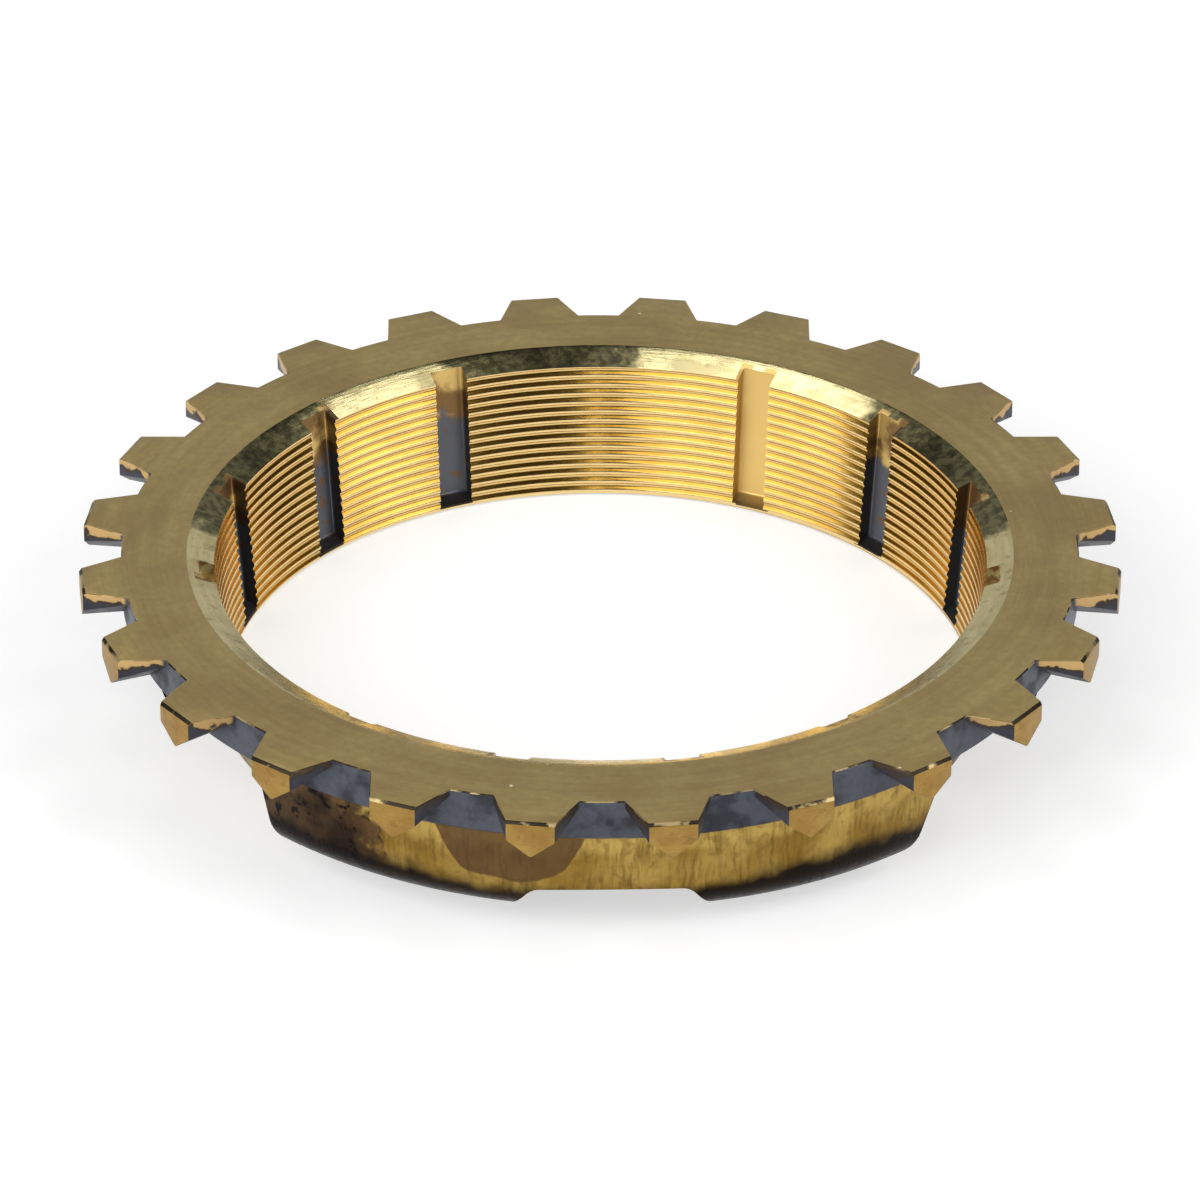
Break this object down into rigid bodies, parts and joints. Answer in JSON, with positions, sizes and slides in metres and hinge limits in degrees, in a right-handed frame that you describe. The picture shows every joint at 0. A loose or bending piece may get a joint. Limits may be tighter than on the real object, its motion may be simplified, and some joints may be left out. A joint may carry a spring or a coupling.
{
  "type": "synchronizer ring",
  "caption": "Brass synchronizer ring: toothed flange over a collar with a grooved friction cone, oil slots along the cone, and thick outer pads with shifting key slots between them.",
  "frame": {"origin": "on the ring's axis, in the plane of the collar's lower end", "axes": "+Z along the axis, from the collar's lower end to the toothed flange's flat face; +Y through the middle of one shifting key slot; -Y through the middle of a pad and between two teeth"},
  "size_m": [0.1204, 0.1204, 0.0183],
  "materials": {
    "brass": "dull machined brass with dark heat-tinted and oxidised areas"
  },
  "bodies": {
    "root": {"synchronizer_ring": "brass"}
  },
  "joints": []
}
